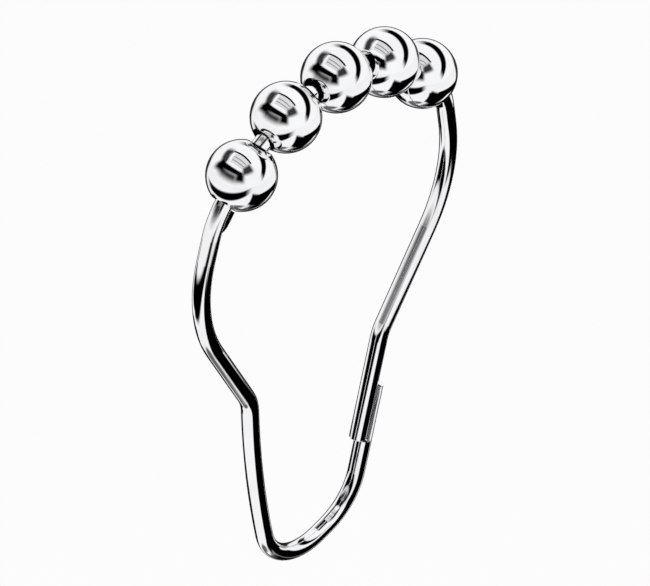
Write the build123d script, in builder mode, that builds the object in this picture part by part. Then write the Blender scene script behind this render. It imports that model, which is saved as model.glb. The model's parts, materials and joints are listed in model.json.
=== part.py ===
from build123d import *
from math import asin, cos, degrees, radians, sin
import os

os.makedirs("parts", exist_ok=True)

# Shower curtain hook: one bent wire that carries a row of roller beads on its top.
# The ring lies in the XZ plane with +Z up. The origin is on the axis of the rod that it hangs
# from, which runs along Y. The front leg is at -X and the clasp is on the back leg, at +X.

# Wire and beads
wire_diameter = 2.6
bead_diameter = 10.0
bead_count = 5
bead_length = 9.2         # over the flat rims round the bore's mouths
bead_gap = 0.2            # between neighbouring balls, and between an end ball and its stop
bore_diameter = 3.6
bore_clearance = 0.1      # between a bore's wall and the wire, where they come closest

# Row of beads, whose middle bead rests on the rod
rod_diameter = 23.3
bead_arc_radius = 25.8    # through the beads' centres

# Stops: past each end bead the wire's inner side is pinched into a fin
stop_length = 3.6
stop_height = 1.2         # how far the fin stands out of the wire
fin_thickness = 1.2       # at the fin's tip
fin_root_thickness = 2.0  # at the wire's centreline
fin_corner_radius = 1.8   # away from the bead
fin_edge_radius = 0.3     # beside the bead

# Sides: past the stops both sides run down, bulge round the rod, then run in to the neck
end_bend_radius = 12.2
side_lean = 13.0          # of the run down to the bulge, from vertical
side_run = 3.7
bulge_radius = 22.4
shoulder_lean = 31.5      # of the run in to the neck, from vertical
neck_radius = 7.0

# Front leg, from the neck down to the bow
leg_top_offset = 14.05    # of the leg's centreline, from the rod's axis
leg_top_lean = 5.5
leg_foot_lean = 15.2
leg_length = 25.6

# Bow that the curtain hangs in, and the leg that rises from it to the clasp
bow_radius = 9.1
bow_floor_rise = 18.8     # slope of the bow's floor up towards the clasp
bow_floor_length = 2.0
clasp_lean = 10.8
clasp_leg_length = 15.0   # up to the lower end's cut face

# Clasp: the wire's two ends lie side by side in a half lap
lap_length = 9.4
lap_end_gap = 0.5         # between the upper end's cut face and the lap's shoulder
lap_side_gap = 0.1        # between the upper end's flank and the lap's face
cut_edge = 0.15           # broken edge of both cut ends

# Sizes that follow from these
wire_radius = wire_diameter / 2
bead_radius = bead_diameter / 2
fin_top = wire_radius + stop_height
bead_arc_centre = Vector(0, 0, rod_diameter / 2 + bead_radius - bead_arc_radius)
bead_pitch = 2 * degrees(asin((bead_diameter + bead_gap) / 2 / bead_arc_radius))
bead_angles = [90 + bead_pitch * ((bead_count - 1) / 2 - n) for n in range(bead_count)]
clasp_up = Vector(sin(radians(clasp_lean)), 0, cos(radians(clasp_lean)))
clasp_in = Vector(-cos(radians(clasp_lean)), 0, sin(radians(clasp_lean)))


def outward(angle):
    """Direction in the ring's plane, at an angle from +X towards +Z."""
    return Vector(cos(radians(angle)), 0, sin(radians(angle)))


# The bores are wider than the wire. The wire runs along the outer side of the end beads' bores,
# and the mouths of the middle bead's bore clear it on the inner side. So the wire's arc is a
# little flatter than the one through the beads.
bead_play = (bore_diameter - wire_diameter) / 2 - bore_clearance
middle_play = bead_play - (bead_length / 2) ** 2 / (2 * bead_arc_radius)
row_top = bead_arc_centre + (bead_arc_radius - middle_play) * outward(90)
row_end_bead = bead_arc_centre + (bead_arc_radius + bead_play) * outward(bead_angles[0])
row_drop = row_top.Z - row_end_bead.Z
row_radius = (row_end_bead.X**2 + row_drop**2) / (2 * row_drop)
row_centre = row_top - row_radius * outward(90)
end_bead_turn = degrees(asin(-row_end_bead.X / row_radius))
row_turn = end_bead_turn + degrees(bead_radius / row_radius)


# Wire ring: a single length of round wire, from the clasp's lower end up round the row of
# beads to its upper end
with BuildPart() as wire_ring:
    with BuildLine(Plane.XZ) as centreline:
        row = CenterArc((0, row_centre.Z), row_radius, 90 - row_turn, 2 * row_turn)

        # front side, down from the row to the shoulder of the lap; the front shoulder is as
        # long as brings the leg to its place
        end_turn = 90 - row_turn - side_lean
        front_bend = JernArc(row @ 1, row % 1, end_bend_radius, end_turn)
        front_side = PolarLine(front_bend @ 1, side_run, direction=front_bend % 1)
        bulge_turn = side_lean + shoulder_lean
        front_bulge = JernArc(front_side @ 1, front_side % 1, bulge_radius, bulge_turn)
        front_turn_width = neck_radius * (cos(radians(leg_top_lean)) - cos(radians(shoulder_lean)))
        front_shoulder_width = -leg_top_offset - front_turn_width - (front_bulge @ 1).X
        front_shoulder_run = front_shoulder_width / sin(radians(shoulder_lean))
        front_shoulder = PolarLine(front_bulge @ 1, front_shoulder_run, direction=front_bulge % 1)
        front_turn = leg_top_lean - shoulder_lean
        front_neck = JernArc(front_shoulder @ 1, front_shoulder % 1, neck_radius, front_turn)
        leg_sweep = leg_foot_lean - leg_top_lean
        leg = JernArc(front_neck @ 1, front_neck % 1, leg_length / radians(leg_sweep), leg_sweep)
        front_bow = JernArc(leg @ 1, leg % 1, bow_radius, 90 - leg_foot_lean + bow_floor_rise)
        bow_floor = PolarLine(front_bow @ 1, bow_floor_length, direction=front_bow % 1)
        back_bow_turn = 90 - bow_floor_rise - clasp_lean
        back_bow = JernArc(bow_floor @ 1, bow_floor % 1, bow_radius, back_bow_turn)
        lower_leg = PolarLine(back_bow @ 1, clasp_leg_length - lap_length, direction=clasp_up)

        # back side, down from the row to the upper end, with a shoulder that is as long as
        # brings that end beside the lap's face
        lap_foot = lower_leg @ 1
        upper_end = lap_foot + lap_end_gap * clasp_up + (wire_radius + lap_side_gap) * clasp_in
        back_bend = JernArc(row @ 0, -(row % 0), end_bend_radius, -end_turn)
        back_side = PolarLine(back_bend @ 1, side_run, direction=back_bend % 1)
        back_bulge = JernArc(back_side @ 1, back_side % 1, bulge_radius, -bulge_turn)
        back_turn = shoulder_lean - clasp_lean
        turn_run_in = neck_radius * (1 - cos(radians(back_turn)))
        shoulder_run_in = (upper_end - back_bulge @ 1).dot(clasp_in) - turn_run_in
        back_shoulder_run = shoulder_run_in / sin(radians(back_turn))
        back_shoulder = PolarLine(back_bulge @ 1, back_shoulder_run, direction=back_bulge % 1)
        back_neck = JernArc(back_shoulder @ 1, back_shoulder % 1, neck_radius, back_turn)
        Line(back_neck @ 1, upper_end)
    with BuildSketch(Plane(origin=upper_end, z_dir=clasp_up)):
        Circle(wire_radius)
    sweep(path=centreline.wire())
    upper_face = wire_ring.faces().filter_by(GeomType.PLANE).sort_by_distance(upper_end)[0]
    chamfer(upper_face.edges(), cut_edge)

    # lower end, above the foot of the lap: only the outer half of the wire is left
    with BuildSketch(Plane(origin=lap_foot, x_dir=clasp_in, z_dir=clasp_up)):
        Circle(wire_radius)
        Rectangle(wire_radius, wire_diameter, align=(Align.MIN, Align.CENTER), mode=Mode.SUBTRACT)
    extrude(amount=lap_length)
    lower_end = lap_foot + lap_length * clasp_up
    lower_face = wire_ring.faces().filter_by(GeomType.PLANE).sort_by_distance(lower_end)[0]
    chamfer(lower_face.edges(), cut_edge)
    plain_wire = wire_ring.part

# Stop fin in its own frame, with x along the wire away from the bead and y into the ring
with BuildPart() as stop_fin:
    with BuildSketch() as fin_side:
        Rectangle(stop_length, fin_top, align=(Align.MIN, Align.MIN))
        fin_corners = fin_side.vertices().group_by(Axis.Y)[-1].sort_by(Axis.X)
        fillet(fin_corners[-1], fin_corner_radius)
        fillet(fin_corners[0], fin_edge_radius)
    extrude(amount=wire_radius, both=True)
    with BuildSketch(Plane.YZ):
        Polygon(
            (0, -fin_root_thickness / 2), (fin_top, -fin_thickness / 2),
            (fin_top, fin_thickness / 2), (0, fin_root_thickness / 2), align=None,
        )
    extrude(amount=stop_length, mode=Mode.INTERSECT)

with BuildPart() as wire_with_stops:
    add(plain_wire)
    for end, side in ((row @ 1, 1), (row @ 0, -1)):
        away = side * (row % ((1 + side) / 2))
        stop_plane = Plane(origin=end + bead_gap * away, x_dir=away, z_dir=(0, -side, 0))
        add(stop_plane.location * stop_fin.part)

wire_with_stops.part.label = "wire_ring"
export_step(wire_with_stops.part, "parts/wire_ring.step")


# Roller beads, from the front of the row to the back. Each is a drilled ball, square to the
# wire's arc.
for number, bead_angle in enumerate(bead_angles, start=1):
    bead_centre = bead_arc_centre + bead_arc_radius * outward(bead_angle)
    bead_out = (bead_centre - row_centre).normalized()
    with BuildPart() as roller_bead:
        bead_plane = Plane(origin=bead_centre, x_dir=bead_out, z_dir=(0, 1, 0))
        with BuildSketch(bead_plane):
            Circle(bead_radius)
            Rectangle(bead_diameter, bead_length, mode=Mode.INTERSECT)
            with Locations((bore_diameter / 2, 0)):
                Rectangle(
                    bead_radius, bead_length,
                    align=(Align.MIN, Align.CENTER), mode=Mode.INTERSECT,
                )
        revolve(axis=Axis(bead_centre, bead_plane.y_dir))
    roller_bead.part.label = f"roller_bead_{number}"
    export_step(roller_bead.part, f"parts/roller_bead_{number}.step")
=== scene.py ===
import json
import math

import bmesh
import bpy
from mathutils import Matrix, Vector

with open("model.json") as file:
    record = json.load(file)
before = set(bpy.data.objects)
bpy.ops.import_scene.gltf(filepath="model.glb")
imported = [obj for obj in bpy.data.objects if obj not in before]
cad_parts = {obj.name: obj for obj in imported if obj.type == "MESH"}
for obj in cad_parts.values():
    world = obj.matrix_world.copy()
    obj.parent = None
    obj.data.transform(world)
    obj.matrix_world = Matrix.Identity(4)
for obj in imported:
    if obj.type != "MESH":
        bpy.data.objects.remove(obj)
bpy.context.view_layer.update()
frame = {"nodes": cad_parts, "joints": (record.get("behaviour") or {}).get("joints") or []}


# Wire ring. One length of hard-drawn steel wire is bent cold round pins into a closed pear
# shape, pinched into a fin on its inner side past each end bead, and cut to a half lap at the
# clasp. It is polished along its length and chrome plated, so its faint lines run that way.

mm = 0.001
wire_bright = (0.93, 0.935, 0.945, 1)
wire_dull = (0.88, 0.885, 0.9, 1)
wire_roughness = 0.025
wire_smudges = 160.0           # noise scales, per metre
wire_peel = 420.0
drawn_lines = 5200.0
drawn_lines_height = 0.35      # where the peel's is 1
worn_roughness = 0.03
polish_depth = 0.02 * mm

lap_foot = Vector((11.207, 0, -52.182)) * mm
lap_up = (0.1874, 0, 0.9823)
lap_outward = (0.9823, 0, -0.1874)
lap_length = 9.5 * mm
lap_edge = 0.05 * mm           # over which the filing ends
lap_skin = 0.02 * mm           # a point this near to the plane of the lap's face is filed
filed_bright = (0.88, 0.88, 0.9, 1)
filed_dark = (0.3, 0.3, 0.31, 1)
filed_roughness = 0.3
file_marks_across = 3600.0     # noise scales over the lap's face, per metre
file_marks_up = 500.0


class Shade:
    """A number, colour or place that varies over a surface; its sums and products add nodes."""

    def __init__(self, tree, socket):
        self.tree = tree
        self.socket = socket

    @staticmethod
    def node(tree, kind, settings=(), values=()):
        """Adds a node and sets its settings, then its sockets by their name or number."""
        made = tree.nodes.new(kind)
        for name, setting in dict(settings).items():
            setattr(made, name, setting)
        for key, value in dict(values).items():
            if isinstance(value, Shade):
                tree.links.new(value.socket, made.inputs[key])
            else:
                made.inputs[key].default_value = value
        return made

    def of(self, kind, settings=(), values=(), output=0):
        return Shade(self.tree, Shade.node(self.tree, kind, settings, values).outputs[output])

    def math(self, operation, *numbers):
        return self.of("ShaderNodeMath", {"operation": operation}, dict(enumerate(numbers)))

    def __add__(self, other):
        return self.math("ADD", self, other)

    __radd__ = __add__

    def __sub__(self, other):
        return self.math("SUBTRACT", self, other)

    def __rsub__(self, other):
        return self.math("SUBTRACT", other, self)

    def __mul__(self, other):
        return self.math("MULTIPLY", self, other)

    __rmul__ = __mul__

    def __abs__(self):
        return self.math("ABSOLUTE", self)

    def between(self, low, high):
        """0 below low, 1 above high and smooth between."""
        return self.of("ShaderNodeMapRange", {"interpolation_type": "SMOOTHSTEP"},
                       {"Value": self, "From Min": low, "From Max": high})

    def mix(self, low, high):
        """The colour low where this is 0 and the colour high where it is 1."""
        return self.of("ShaderNodeMix", {"data_type": "RGBA"}, {0: self, 6: low, 7: high},
                       output=2)

    def measured_from(self, point):
        return self.of("ShaderNodeVectorMath", {"operation": "SUBTRACT"}, {0: self, 1: point})

    def dot(self, direction):
        """How far this place lies along a direction."""
        return self.of("ShaderNodeVectorMath", {"operation": "DOT_PRODUCT"},
                       {0: self, 1: direction}, output="Value")

    def mottle(self, scale, detail):
        """Cloudy noise round this place."""
        return self.of("ShaderNodeTexNoise", {"noise_dimensions": "3D"},
                       {"Vector": self, "Scale": scale, "Detail": detail})

    def lines(self, detail):
        """Noise that changes with this number alone, and so runs in lines."""
        return self.of("ShaderNodeTexNoise", {"noise_dimensions": "1D"},
                       {"W": self, "Scale": 1.0, "Detail": detail})


def blank_finish(name, read="Object"):
    """An empty material, and the place on the piece that its shades vary by."""
    finish = bpy.data.materials.new(name)
    finish.use_nodes = True
    tree = finish.node_tree
    tree.nodes.clear()
    return finish, Shade(tree, Shade.node(tree, "ShaderNodeTexCoord").outputs[read])


def wire_finish():
    finish, place = blank_finish("wire_chrome")
    across = place.dot((0, 1, 0))
    smudge = place.mottle(wire_smudges, detail=3.0)
    peel = place.mottle(wire_peel, detail=1.0)
    drawn = (across * drawn_lines).lines(detail=2.0)
    worn = smudge.between(0.45, 0.7)
    plate = smudge.between(0.3, 0.7).mix(wire_bright, wire_dull)

    # the half lap's flat face is filed after plating, which leaves it darker and streaked
    from_foot = place.measured_from(lap_foot)
    rise = from_foot.dot(lap_up)
    on_face = 1 - abs(from_foot.dot(lap_outward)).between(lap_skin, 2 * lap_skin)
    above_foot = rise.between(0, lap_edge)
    past_top = rise.between(lap_length, lap_length + 2 * lap_edge)
    filed = on_face * above_foot * (1 - past_top)
    file_marks = (across * file_marks_across + rise * file_marks_up).lines(detail=3.0)
    bare_steel = file_marks.between(0.35, 0.65).mix(filed_dark, filed_bright)

    bump = place.of("ShaderNodeBump", values={
        "Strength": 0.12, "Distance": polish_depth,
        "Height": drawn * worn * drawn_lines_height + peel})
    chrome = place.of("ShaderNodeBsdfPrincipled", values={
        "Base Color": filed.mix(plate, bare_steel), "Metallic": 1.0, "Normal": bump,
        "Roughness": wire_roughness + worn * worn_roughness + filed * filed_roughness})
    Shade.node(place.tree, "ShaderNodeOutputMaterial", values={"Surface": chrome})
    return finish


wire_ring = frame["nodes"]["wire_ring"]
wire_ring.data.materials.clear()
wire_ring.data.materials.append(wire_finish())


# Roller beads. Each is a steel ball drilled through and chrome plated, threaded on the wire
# before it was bent. The polishing wheel leaves fine rings round the bore.

bead_bright = (0.94, 0.945, 0.955, 1)
bead_dull = (0.89, 0.895, 0.91, 1)
bead_roughness = 0.02
bead_smudges = 220.0           # noise scales, per metre
bead_peel = 350.0
polish_rings = 6000.0
polish_rings_height = 0.3      # where the peel's is 1


def bead_finish(name, centre, bore_axis):
    finish, place = blank_finish(name)
    along = place.measured_from(centre).dot(bore_axis)
    smudge = place.mottle(bead_smudges, detail=3.0)
    peel = place.mottle(bead_peel, detail=1.0)
    turned = (along * polish_rings).lines(detail=2.0)
    worn = smudge.between(0.5, 0.72)
    bump = place.of("ShaderNodeBump", values={
        "Strength": 0.1, "Distance": polish_depth,
        "Height": turned * worn * polish_rings_height + peel})
    chrome = place.of("ShaderNodeBsdfPrincipled", values={
        "Base Color": smudge.between(0.3, 0.7).mix(bead_bright, bead_dull),
        "Metallic": 1.0, "Normal": bump, "Roughness": bead_roughness + worn * worn_roughness})
    Shade.node(place.tree, "ShaderNodeOutputMaterial", values={"Surface": chrome})
    return finish


for joint in frame["joints"]:
    bead_name = "roller_" + joint["child"]
    bead = frame["nodes"][bead_name]
    bead.data.materials.clear()
    bead.data.materials.append(bead_finish(bead_name + "_chrome", joint["pos_m"], joint["axis"]))


# Studio. A plain white floor lies far below the hook, with white all round and soft light from
# above. Black and grey cards and a pale ribbed panel overhead give the chrome something to
# mirror. They hang out of the picture and keep no light from the hook.

white = (1, 1, 1, 1)
floor_depth = 0.5
floor_reach = 6.0
floor_paper = (0.95, 0.95, 0.95, 1)
floor_lift = 0.85              # how much of the floor's white is its own, where it is seen
sky_level = 0.7


def stage_piece(name, shape, finish):
    mesh = bpy.data.meshes.new(name)
    shape.to_mesh(mesh)
    shape.free()
    mesh.materials.append(finish)
    piece = bpy.data.objects.new(name, mesh)
    bpy.context.scene.collection.objects.link(piece)
    return piece


def seen_rays(tree):
    """1 for a ray from the camera or off a mirror, and 0 for one that only lights a surface."""
    path = Shade.node(tree, "ShaderNodeLightPath")
    camera_ray, glossy_ray, clear_ray = (
        Shade(tree, path.outputs[name])
        for name in ("Is Camera Ray", "Is Glossy Ray", "Is Transmission Ray"))
    return (camera_ray + glossy_ray + clear_ray).between(0, 1)


floor_shape = bmesh.new()
bmesh.ops.create_grid(floor_shape, size=floor_reach,
                      matrix=Matrix.Translation((0, 0, -floor_depth)))
floor_white, floor_place = blank_finish("floor_white")
paper = floor_place.of("ShaderNodeBsdfDiffuse", values={"Color": floor_paper})
glow = floor_place.of("ShaderNodeEmission", values={"Color": white, "Strength": 1.0})
lit_paper = floor_place.of("ShaderNodeMixShader", values={
    0: seen_rays(floor_place.tree) * floor_lift, 1: paper, 2: glow})
Shade.node(floor_place.tree, "ShaderNodeOutputMaterial", values={"Surface": lit_paper})
stage_piece("floor", floor_shape, floor_white)


def card_finish(name, level, soft_ends, soft_sides):
    """Matt paint on a clear sheet. It thins out over these shares of the sheet at each end and
    each side."""
    finish, place = blank_finish(name, "UV")
    along = place.dot((1, 0, 0))
    across = place.dot((0, 1, 0))
    ends = along.between(0, soft_ends) * (1 - along).between(0, soft_ends)
    sides = across.between(0, soft_sides) * (1 - across).between(0, soft_sides)
    clear = place.of("ShaderNodeBsdfTransparent")
    paint = place.of("ShaderNodeBsdfDiffuse", values={"Color": (level, level, level, 1)})
    sheet = place.of("ShaderNodeMixShader", values={0: ends * sides, 1: clear, 2: paint})
    Shade.node(place.tree, "ShaderNodeOutputMaterial", values={"Surface": sheet})
    return finish


def hang_card(name, finish, shape):
    """Only the chrome sees a card: it throws no shadow and stays out of the picture."""
    piece = stage_piece(name, shape, finish)
    piece.visible_camera = False
    piece.visible_diffuse = False
    piece.visible_shadow = False


def flat_card(name, finish, from_x, to_x, from_y, to_y, height):
    shape = bmesh.new()
    shape.loops.layers.uv.new("sheet")
    middle = Matrix.Translation(((from_x + to_x) / 2, (from_y + to_y) / 2, height))
    bmesh.ops.create_grid(shape, x_segments=1, y_segments=1, size=0.5, calc_uvs=True,
                          matrix=middle @ Matrix.Diagonal((to_x - from_x, to_y - from_y, 1, 1)))
    hang_card(name, finish, shape)


def card(name, finish, azimuths, low, high, distance=0.45, centre=(0, 0, 0)):
    """A card bent round the hook from one azimuth to another, where 0 is +Y and 90 is +X. Its
    lower and upper edges bow through the elevations at its start, middle and end."""
    shape = bmesh.new()
    shape.loops.layers.uv.new("sheet")
    bmesh.ops.create_grid(shape, x_segments=32, y_segments=8, size=1, calc_uvs=True)
    for corner in shape.verts:
        along = (corner.co.x + 1) / 2
        across = (corner.co.y + 1) / 2
        edges = [start * (1 - along) + end * along
                 + (4 * middle - 2 * start - 2 * end) * along * (1 - along)
                 for start, middle, end in (low, high)]
        azimuth = math.radians(azimuths[0] + (azimuths[1] - azimuths[0]) * along)
        elevation = math.radians(edges[0] + (edges[1] - edges[0]) * across)
        level = math.cos(elevation) * distance
        corner.co = Vector(centre) + Vector((math.sin(azimuth) * level, math.cos(azimuth) * level,
                                             math.sin(elevation) * distance))
    hang_card(name, finish, shape)


black = card_finish("card_black", 0.0, 0.1, 0.25)
black_crescent = card_finish("card_black_crescent", 0.0, 0.15, 0.2)
black_haze = card_finish("card_black_haze", 0.0, 0.35, 0.4)
black_edge = card_finish("card_black_edge", 0.0, 0.08, 0.1)
black_side = card_finish("card_black_side", 0.05, 0.28, 0.36)
black_back = card_finish("card_black_back", 0.02, 0.12, 0.15)
dark = card_finish("card_dark", 0.05, 0.3, 0.5)
grey = card_finish("card_grey", 0.14, 0.15, 0.25)
pale = card_finish("card_pale", 0.95, 0.1, 0.1)
panel_gap = card_finish("card_panel_gap", 0.35, 0.1, 0.1)

# the ribbed panel overhead
for from_x, to_x in ((-0.245, -0.165), (-0.15, -0.085), (-0.07, 0.025)):
    flat_card("card_above", pale, from_x, to_x, -0.21, 0.21, 0.42)
flat_card("card_above_gaps", panel_gap, -0.23, 0.03, -0.2, 0.2, 0.425)
flat_card("card_above_edge", black_edge, 0.02, 0.068, -0.25, 0.34, 0.42)

# cards on the camera's side
card("card_front_top", black, (-140, -22), (24, 32, 12), (42, 52, 36))
card("card_front_left", black_haze, (-146, -104), (2, 4, 6), (44, 48, 50), distance=0.46)
card("card_front_right", black_haze, (-72, -14), (16, 6, -10), (50, 44, 26), distance=0.46)
card("card_front_inner", dark, (-130, -30), (-4, -2, -4), (48, 50, 48), distance=0.47)
card("card_left_high", black_side, (-190, -124), (32, 30, 26), (76, 70, 62), distance=0.47)
card("card_right_high", black_side, (-56, 26), (18, 24, 24), (56, 60, 68), distance=0.47)

# cards close round the bow, which the legs see beside them and the beads see below
bow_middle = (0, 0, -60 * mm)
card("card_left_low", black_crescent, (-158, -14), (20, -32, 2), (40, 16, 18),
     distance=0.11, centre=bow_middle)
card("card_left_edge", black_edge, (-30, 16), (-60, -60, -60), (-20, -20, -20),
     distance=0.11, centre=bow_middle)
card("card_right_rim", black_edge, (70, 99), (-60, -60, -60), (2, 0, -2),
     distance=0.09, centre=bow_middle)
card("card_right_low", black_edge, (108, 196), (-60, -60, -60), (-2, 2, 14),
     distance=0.09, centre=bow_middle)

# cards behind and below
card("card_back_high", black_crescent, (36, 170), (6, 22, -4), (32, 48, 16))
card("card_back_low", black_back, (-4, 100), (-62, -66, -62), (-8, -2, -6), distance=0.47)
card("card_right_far", black_edge, (80, 172), (-36, -50, -60), (-27, -29, -32), distance=0.46)
card("card_right_side", black_crescent, (154, 198), (-78, -76, -74), (-38, -28, -18))
card("card_below", grey, (-180, 180), (-88, -88, -88), (-70, -70, -70), distance=0.44)
card("card_below_right", black_haze, (0, 200), (-88, -88, -88), (-50, -50, -50), distance=0.43)

world = bpy.data.worlds.new("studio_white")
bpy.context.scene.world = world
world.use_nodes = True
world.node_tree.nodes.clear()
strength = sky_level + seen_rays(world.node_tree) * (1 - sky_level)
sky = strength.of("ShaderNodeBackground", values={"Color": white, "Strength": strength})
Shade.node(world.node_tree, "ShaderNodeOutputWorld", values={"Surface": sky})

softbox = bpy.data.lights.new("overhead_softbox", "AREA")
softbox.shape = "RECTANGLE"
softbox.size = 1.2
softbox.size_y = 1.2
softbox.energy = 8.0
key_lamp = bpy.data.objects.new("overhead_softbox", softbox)
key_lamp.location = (-0.2, -0.3, 1.2)
key_lamp.rotation_euler = (-key_lamp.location).to_track_quat("-Z", "Y").to_euler()
key_lamp.visible_glossy = False
bpy.context.scene.collection.objects.link(key_lamp)


# Camera. It looks down on the hook from the front leg's side, at the photograph's angle, and is
# aimed at the middle of the ring through a long lens.

aim = Vector((0.55, 0, -20.5)) * mm
camera_distance = 0.764
camera_azimuth = math.radians(-49.2)
camera_elevation = math.radians(36.1)
camera_roll = math.radians(3.7)
camera_data = bpy.data.cameras.new("camera")
camera_data.sensor_width = 36.0
camera_data.lens = 298.0
camera_data.clip_start = 0.01
camera_data.clip_end = 20.0
camera = bpy.data.objects.new("camera", camera_data)
towards = Vector((-math.sin(camera_azimuth) * math.cos(camera_elevation),
                  math.cos(camera_azimuth) * math.cos(camera_elevation),
                  -math.sin(camera_elevation)))
turn = towards.to_track_quat("-Z", "Y").to_matrix() @ Matrix.Rotation(camera_roll, 3, "Z")
camera.matrix_world = Matrix.Translation(aim - towards * camera_distance) @ turn.to_4x4()
bpy.context.scene.collection.objects.link(camera)
bpy.context.scene.camera = camera
bpy.context.scene.view_settings.view_transform = "Standard"
